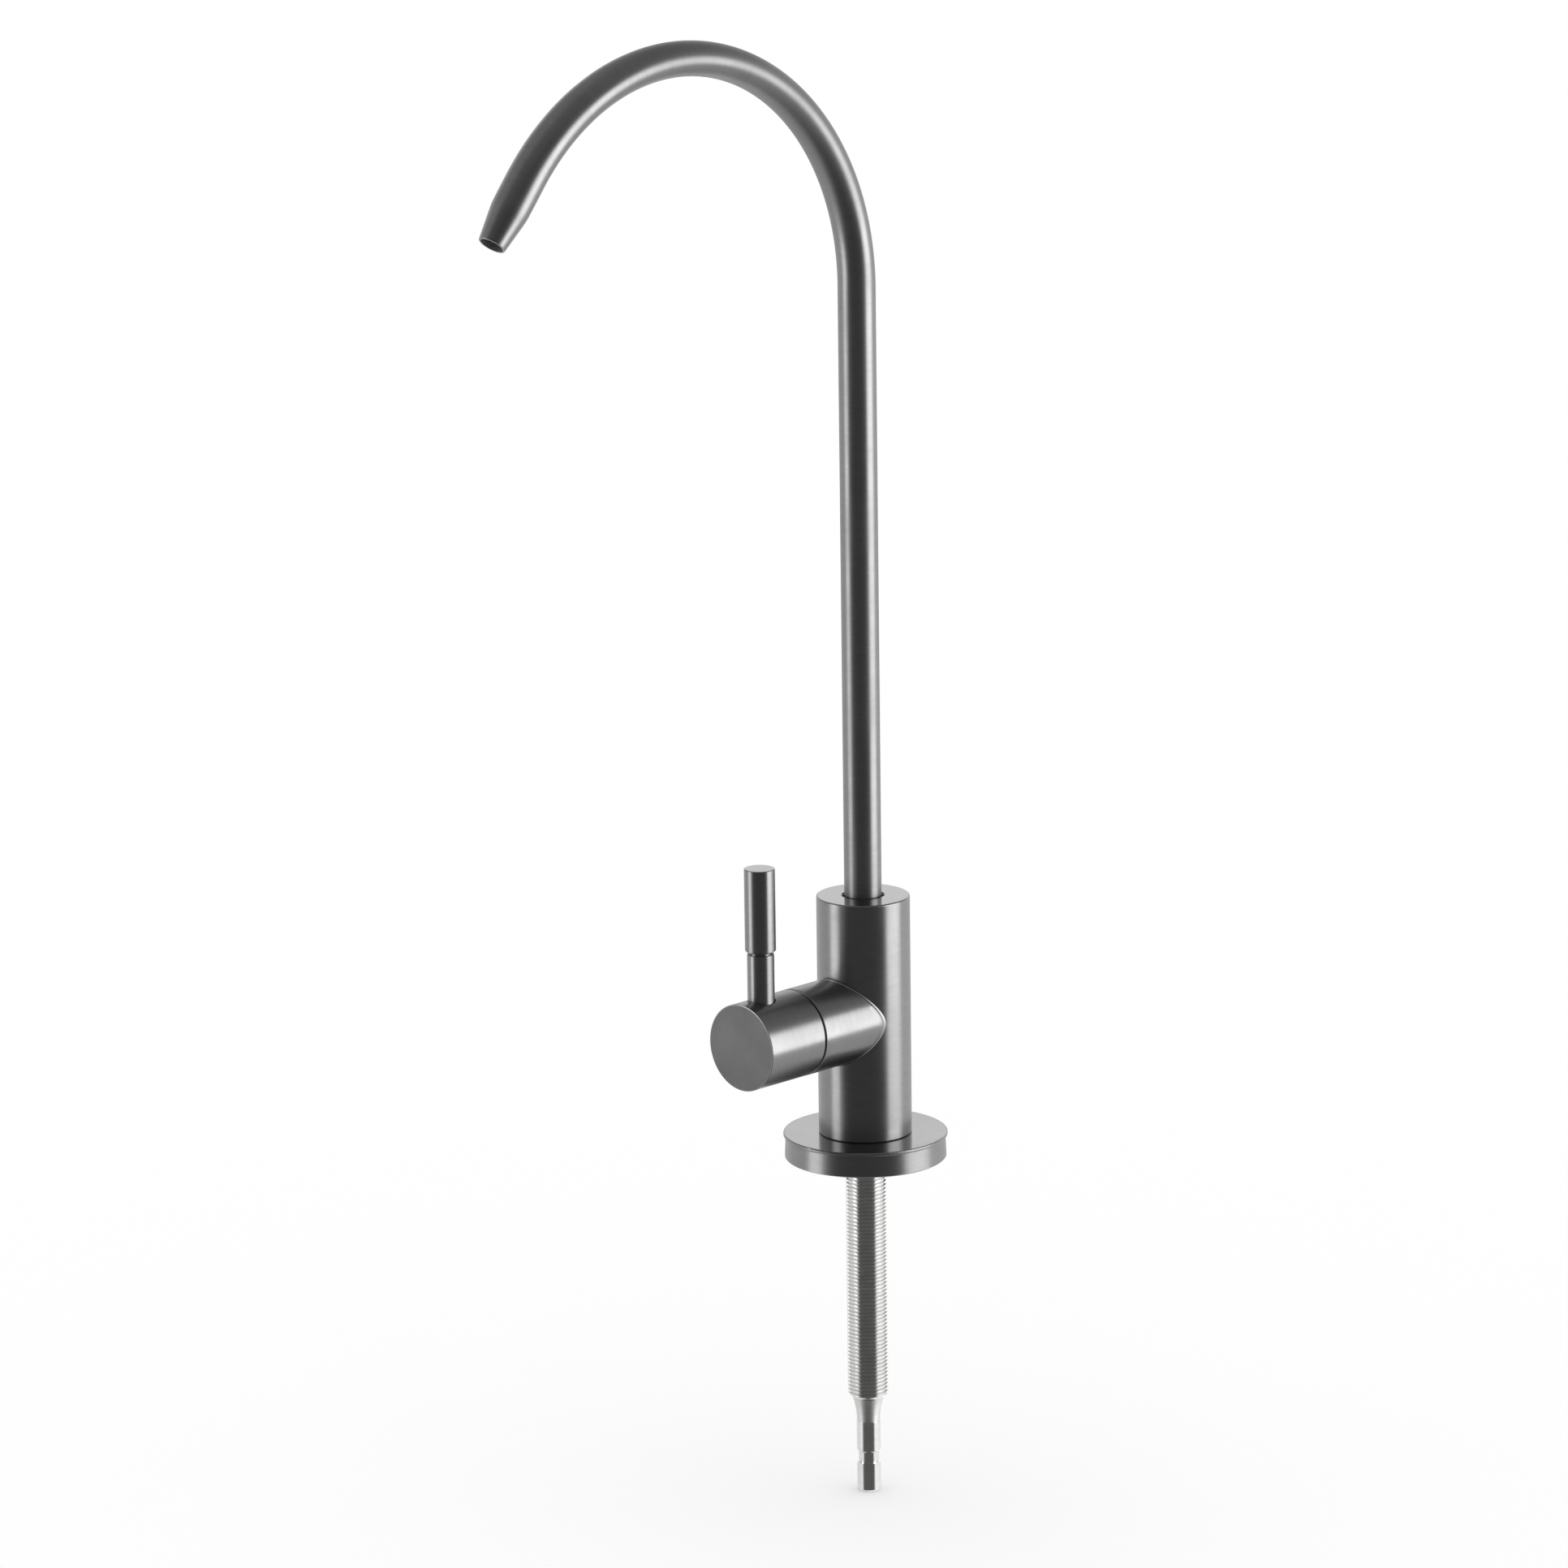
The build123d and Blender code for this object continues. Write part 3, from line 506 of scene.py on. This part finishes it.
def saddled_sleeve():
    """Carry the sleeve's outline round its axis.

    A point is (r * cos(a), -reach, r * sin(a)) from the branch's axis. Where the sleeve meets the body
    its reach is sqrt(saddle radius ** 2 - (r * cos(a)) ** 2). Along the bead, t goes from 0 to 1: the
    radius is the branch's plus height * sin(pi * t), and the reach is the saddle's plus
    width * (1 - cos(pi * t)) / 2. The barrel runs from the bead to the front edge in even shares.
    """
    angle = np.linspace(0, 2 * pi, branch_sides, endpoint=False)

    def saddle(radius):
        return np.sqrt(saddle_radius**2 - (np.outer(radius, np.cos(angle))) ** 2)

    across = np.linspace(spigot_radius, branch_radius, saddle_rings, endpoint=False)
    t = np.linspace(0, 1, bead_rings)
    bead_radius = branch_radius + bead_height * np.sin(pi * t)
    bead_reach = saddle(bead_radius) + bead_width * (1 - np.cos(pi * t))[:, None] / 2
    shares = np.linspace(0, 1, barrel_steps + 1)[1:-1, None]
    front = branch_reach - branch_edge_round
    barrel_reach = (1 - shares) * bead_reach[-1] + shares * front
    edge_centre = branch_radius - branch_edge_round
    edge_radius, edge_reach = quarter_round(edge_centre, front, branch_edge_round, 0)
    inside = np.array(
        [
            (mouth_radius + mouth_chamfer, branch_reach),
            (mouth_radius, branch_reach - mouth_chamfer),
            (mouth_radius, chamber_reach),
            (chamber_radius, chamber_reach),
            (chamber_radius, spigot_reach),
            (spigot_radius, spigot_reach),
        ]
    )
    inside_radius, inside_reach = inside.T
    barrel_radius = np.full(len(barrel_reach), branch_radius)
    radius = np.concatenate([across, bead_radius, barrel_radius, edge_radius, inside_radius])[:, None]
    level_reach = np.concatenate([edge_reach, inside_reach])[:, None] * np.ones(branch_sides)
    reach = np.concatenate([saddle(across), bead_reach, barrel_reach, level_reach])
    points = np.stack([radius * np.cos(angle), -reach, branch_height + radius * np.sin(angle)], axis=-1)
    rest = len(points) - saddle_rings - bead_rings + 1
    bead_finish = (polished_gunmetal, bead_rings - 1)
    finishes = [(level_gunmetal, saddle_rings), bead_finish, (level_gunmetal, rest)]
    return surface("branch_sleeve", points, finishes)


level_gunmetal = brushed_metal("level gunmetal", **coated, **along_branch)
polished_gunmetal = moulded(
    "polished gunmetal",
    (0.34, 0.34, 0.34),
    roughness=0.32,
    grain_size=0.0002,
    depth=0.000001,
    metallic=1.0,
)
sleeve = saddled_sleeve()
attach(sleeve, "tap_body")
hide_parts("side_branch")
turned_brass = brushed_metal("turned brass", **brass, **along_branch)
white_ceramic = moulded(
    "white ceramic", (0.82, 0.81, 0.77), roughness=0.14, grain_size=0.0006, depth=0.000001
)
finish_nodes(turned_brass, "cartridge_housing")
finish_nodes(black_rubber, "seat_seal", "cartridge_o_ring")
finish_nodes(white_ceramic, "fixed_disc", "moving_disc")


# The spindle is turned brass with two sealing rings. A plastic washer takes its thrust, and a brass
# ring with a lug and a steel circlip hold it in the housing and stop it after a quarter turn.
white_plastic = moulded(
    "white plastic", (0.78, 0.77, 0.73), roughness=0.4, grain_size=0.0003, depth=0.000004
)
spring_steel = brushed_metal(
    "spring steel", (0.5, 0.5, 0.49), roughness=0.3, flat_roughness=0.3, depth=turning_depth
)
finish_nodes(turned_brass, "spindle", "stop_ring")
finish_nodes(black_rubber, "spindle_inner_o_ring", "spindle_outer_o_ring")
finish_nodes(white_plastic, "thrust_washer")
finish_nodes(spring_steel, "spindle_circlip")


# The hub is a turned cap, brushed round its barrel and blasted matt on its face. It is pressed on the
# spindle's flatted end, turns with it, and has a spot-faced hole on top for the lever.
hub_radius = 0.0117
hub_back = 0.027
hub_front = 0.0469
hub_edge_round = 0.00005
hub_bevel_width = 0.00022
hub_bevel_depth = 0.00005
hub_back_round = 0.00025
hub_recess_radius = 0.009
hub_recess_reach = 0.030
hub_bore_radius = 0.00352
hub_bore_reach = 0.042
lever_reach = 0.0392
lever_hole_floor = 0.0423
lever_hole_step = 0.0501
lever_screw_radius = 0.00202
spot_radius = 0.00385
hub_sides = 192
hub_barrel_steps = 27
hub_face_rings = 24
drill_sides = 96


def turned_piece(name, outline, sides, finishes, place):
    """Turn an outline of (radius, height), from axis to axis, about the Z axis, and then place it."""
    radius, height = np.array(outline).T
    angle = np.linspace(0, 2 * pi, sides, endpoint=False)
    x, y = np.outer(radius, np.cos(angle)), np.outer(radius, np.sin(angle))
    z = np.outer(height, np.ones(sides))
    points = np.stack([x, y, z], axis=-1) @ np.array(place.to_3x3()).T + np.array(place.translation)
    return surface(name, points, finishes, closed=False)


def drill(piece, outline, place):
    """Cut a stepped round hole, given by its outline, out of a piece."""
    drill_bit = turned_piece("drill bit", outline, drill_sides, [], place)
    cut = piece.modifiers.new("hole", "BOOLEAN")
    cut.object = drill_bit
    cut.solver = "EXACT"
    finished = piece.evaluated_get(bpy.context.evaluated_depsgraph_get())
    drilled = bpy.data.meshes.new_from_object(finished)
    piece.modifiers.clear()
    piece.data = drilled
    bpy.data.objects.remove(drill_bit)
    drilled.set_sharp_from_angle(angle=sharp_angle)


def hub_cap():
    """Turn the cap's outline: bore, recess, back edge, barrel, bevel and face."""
    barrel_start = hub_back + hub_back_round
    back = quarter_round(hub_radius - hub_back_round, barrel_start, hub_back_round, -pi / 2)
    bevel_radius = hub_radius - hub_edge_round
    bevel_height = hub_front - hub_bevel_depth
    barrel = np.linspace(barrel_start, bevel_height - hub_edge_round, hub_barrel_steps + 1)[1:]
    face_radius = bevel_radius - hub_bevel_width
    face = np.linspace(face_radius - hub_edge_round, 0, hub_face_rings)
    outline = [
        (0, hub_bore_reach),
        (hub_bore_radius, hub_bore_reach),
        (hub_bore_radius, hub_recess_reach),
        (hub_recess_radius, hub_recess_reach),
        (hub_recess_radius, hub_back),
        *zip(*back),
        *[(hub_radius, height) for height in barrel],
        (bevel_radius, bevel_height),
        (face_radius, hub_front),
        *[(radius, hub_front) for radius in face],
    ]
    barrel_rows = len(outline) - hub_face_rings - 2
    finishes = [(hub_gunmetal, barrel_rows), (polished_gunmetal, 1), (blasted_gunmetal, hub_face_rings)]
    on_branch = Matrix.Translation((0, 0, branch_height)) @ Matrix.Rotation(pi / 2, 4, "X")
    return turned_piece("hub_cap", outline, hub_sides, finishes, on_branch)


hub_gunmetal = brushed_metal("hub gunmetal", **coated, **along_branch)
blasted_gunmetal = moulded(
    "blasted gunmetal",
    (0.245, 0.245, 0.245),
    roughness=0.6,
    grain_size=0.00015,
    depth=0.000004,
    metallic=1.0,
)
hub = hub_cap()
lever_hole_top = branch_height + 2 * hub_radius
lever_hole = [
    (0, lever_hole_floor),
    (lever_screw_radius, lever_hole_floor),
    (lever_screw_radius, lever_hole_step),
    (spot_radius, lever_hole_step),
    (spot_radius, lever_hole_top),
    (0, lever_hole_top),
]
drill(hub, lever_hole, Matrix.Translation((0, -lever_reach, 0)))
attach(hub, "handle")
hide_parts("handle_hub")


# The lever is a thin turned stem, screwed into the hub from above, and a thicker grip over it. Both
# are the same coated steel, brushed round.
lever_gunmetal = brushed_metal("lever gunmetal", **coated, centre=(0, -lever_reach, 0))
finish_nodes(lever_gunmetal, "lever_stem", "lever_grip")


# The spout's swivel end is a brass collar with two sealing rings, hidden in the body. A split plastic
# ring keeps it there, and a black plastic bush with small teeth guides the tube in the body's mouth.
bush_bore = 0.00506
bush_radius = 0.00578
bush_foot = 0.06801
bush_top = 0.0725
bush_edge_round = 0.00015
bush_teeth = 12
bush_gap_depth = 0.0009
bush_gap_share = 0.42
bush_gap_steepness = 4
bush_gap_fade = 4
bush_sides = 288
bush_wall_rings = 7


def toothed_bush():
    """Carry the bush's wall round its axis, with teeth cut in its top.

    A point is (r * cos(a), r * sin(a), z), where z is the wall's height less gap depth * s ** fade * g.
    There s is that height as a share of the bush's, and g is 1 in a gap and 0 on a tooth:
    g = 0.5 + steepness * (cos(teeth * a) - cos(pi * gap share)), kept between 0 and 1.
    """
    angle = np.linspace(0, 2 * pi, bush_sides, endpoint=False)
    gap = 0.5 + bush_gap_steepness * (np.cos(bush_teeth * angle) - np.cos(pi * bush_gap_share))
    edge = bush_edge_round
    outer_radius, outer_height = quarter_round(bush_radius - edge, bush_top - edge, edge, 0)
    inner_radius, inner_height = quarter_round(bush_bore + edge, bush_top - edge, edge, pi / 2)
    wall = np.linspace(bush_foot, bush_top - edge, bush_wall_rings, endpoint=False)
    outside, bore = np.full(bush_wall_rings, bush_radius), np.full(bush_wall_rings, bush_bore)
    radius = np.concatenate([outside, outer_radius, inner_radius, bore])
    height = np.concatenate([wall, outer_height, inner_height, wall[::-1]])
    share = np.clip((height - bush_foot) / (bush_top - bush_foot), 0, 1)
    z = height[:, None] - bush_gap_depth * share[:, None] ** bush_gap_fade * np.clip(gap, 0, 1)
    ring = [np.outer(radius, np.cos(angle)), np.outer(radius, np.sin(angle)), z]
    return surface("toothed_bush", np.stack(ring, axis=-1), [(black_plastic, len(radius))])


upright_brass = brushed_metal("upright brass", **brass)
black_plastic = moulded(
    "black plastic", (0.02, 0.02, 0.021), roughness=0.42, grain_size=0.0003, depth=0.000006
)
finish_nodes(upright_brass, "spout_collar")
finish_nodes(black_rubber, "spout_lower_o_ring", "spout_upper_o_ring")
finish_nodes(white_plastic, "spout_snap_ring")
bush = toothed_bush()
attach(bush, "tap_body")
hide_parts("spout_guide_bush")


# The spout is one drawn steel tube, coated and brushed round. It is bent over a former, which leaves
# the bend a little flattened, and its end is swaged to a slightly narrower outlet.
tube_radius = 0.005
tube_bore = 0.0042
tube_foot = 0.05906
riser_height = 0.2366
bend_start = riser_height - tube_foot
bend_radius = 0.0669
bend_angle = radians(141)
bend_end = bend_start + bend_radius * bend_angle
bend_flattening = 0.09
outlet_straight = 0.0088
outlet_taper = 0.00999
outlet_radius = 0.0036
outlet_bore = 0.0031
outlet_round = 0.00015
taper_blend = 0.0012
tube_sides = 96
riser_rings = 24
bend_rings = 120
outlet_rings = 40
lip_steps = 4
tube_roughness = (0.36, 0.42)
tube_stretch = 0.45
bend_dulling = 0.08
bend_dulling_rise = (0.190, 0.228)
bend_dulling_fall = (0.284, 0.322)


def tube_outline():
    """The tube's wall as stations and radii: up the outside, round the lip and back down the bore.

    Past the bend the outside and the bore narrow along straight lines whose starts are rounded by a
    softened corner, radius = start - slope * (d + sqrt(d * d + blend * blend)) / 2.
    """
    straight_end = bend_end + outlet_straight
    end = straight_end + outlet_taper
    riser = np.linspace(0, bend_start, riser_rings, endpoint=False)
    bend = np.linspace(bend_start, bend_end, bend_rings, endpoint=False)
    outlet = np.linspace(bend_end, end - outlet_round, outlet_rings)
    stations = np.concatenate([riser, bend, outlet])
    past = stations - straight_end
    eased = (past + np.sqrt(past**2 + taper_blend**2)) / 2
    outside = tube_radius - (tube_radius - outlet_radius) / outlet_taper * eased
    bore = tube_bore - (tube_bore - outlet_bore) / outlet_taper * eased
    lip = np.linspace(0, pi / 2, lip_steps + 1)[1:]
    lip_stations = end - outlet_round + outlet_round * np.sin(lip)
    lip_radii = outside[-1] - outlet_round + outlet_round * np.cos(lip)
    back = stations[::-1].copy()
    back[0] = end
    radii = np.concatenate([outside, lip_radii, bore[::-1]])
    return np.concatenate([stations, lip_stations, back]), radii


def bent_tube():
    """Carry rings along the riser, the bend and the outlet.

    On the riser a ring stands level at its height. In the bend the ring at angle t is turned by t
    about the bend's centre. The outlet runs on straight from there. The rings of the bend are
    narrowed towards its centre by the share flattening * b and widened across by half of that, where
    b = 1 - (1 - sin(pi * t / bend angle)) ** 2.
    """
    stations, radii = tube_outline()
    angle = np.clip((stations - bend_start) / bend_radius, 0, bend_angle)
    before = np.minimum(stations - bend_start, 0)[:, None]
    beyond = np.maximum(stations - bend_end, 0)[:, None]
    bent = 1 - (1 - np.sin(pi * angle / bend_angle)) ** 2
    side = np.linspace(0, 2 * pi, tube_sides, endpoint=False)
    inwards = np.outer(radii * (1 - bend_flattening * bent), np.cos(side))
    across = np.outer(radii * (1 + bend_flattening / 2 * bent), np.sin(side))
    turn = angle[:, None]
    reach = bend_radius - inwards
    y = -bend_radius + reach * np.cos(turn) - beyond * np.sin(turn)
    z = riser_height + reach * np.sin(turn) + beyond * np.cos(turn) + before
    outside = stations.argmax() - 1
    inside = len(stations) - outside - 2
    finishes = [(tube_gunmetal, outside), (polished_gunmetal, 2), (drawn_bore, inside)]
    return surface("bent_tube", np.stack([across, y, z], axis=-1), finishes)


def brushed_tube():
    """Scratches round the tube, placed by its own texture map so that they follow the bend."""
    material, tree, shader = new_material("brushed tube")
    texture_map = add_node(tree, "ShaderNodeUVMap", uv_map="UVMap").outputs[0]
    along = add_node(tree, "ShaderNodeSeparateXYZ", {0: texture_map}).outputs["Y"]
    place = add_node(tree, "ShaderNodeTexCoord").outputs["Object"]
    tangent = add_node(tree, "ShaderNodeTangent", direction_type="UV_MAP", uv_map="UVMap").outputs[0]
    clouds = brush(tree, shader, gunmetal, brushing_depth, tube_stretch, place, along, tangent)
    tree.links.new(spread(tree, clouds, *tube_roughness), shader.inputs["Roughness"])
    dull(tree, shader, along, bend_dulling_rise, bend_dulling_fall, bend_dulling)
    return material


tube_gunmetal = brushed_tube()
drawn_bore = moulded(
    "drawn bore", (0.62, 0.62, 0.62), roughness=0.55, grain_size=0.0006, depth=0.00002, metallic=1.0
)
spout = bent_tube()
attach(spout, "spout")
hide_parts("spout_tube")
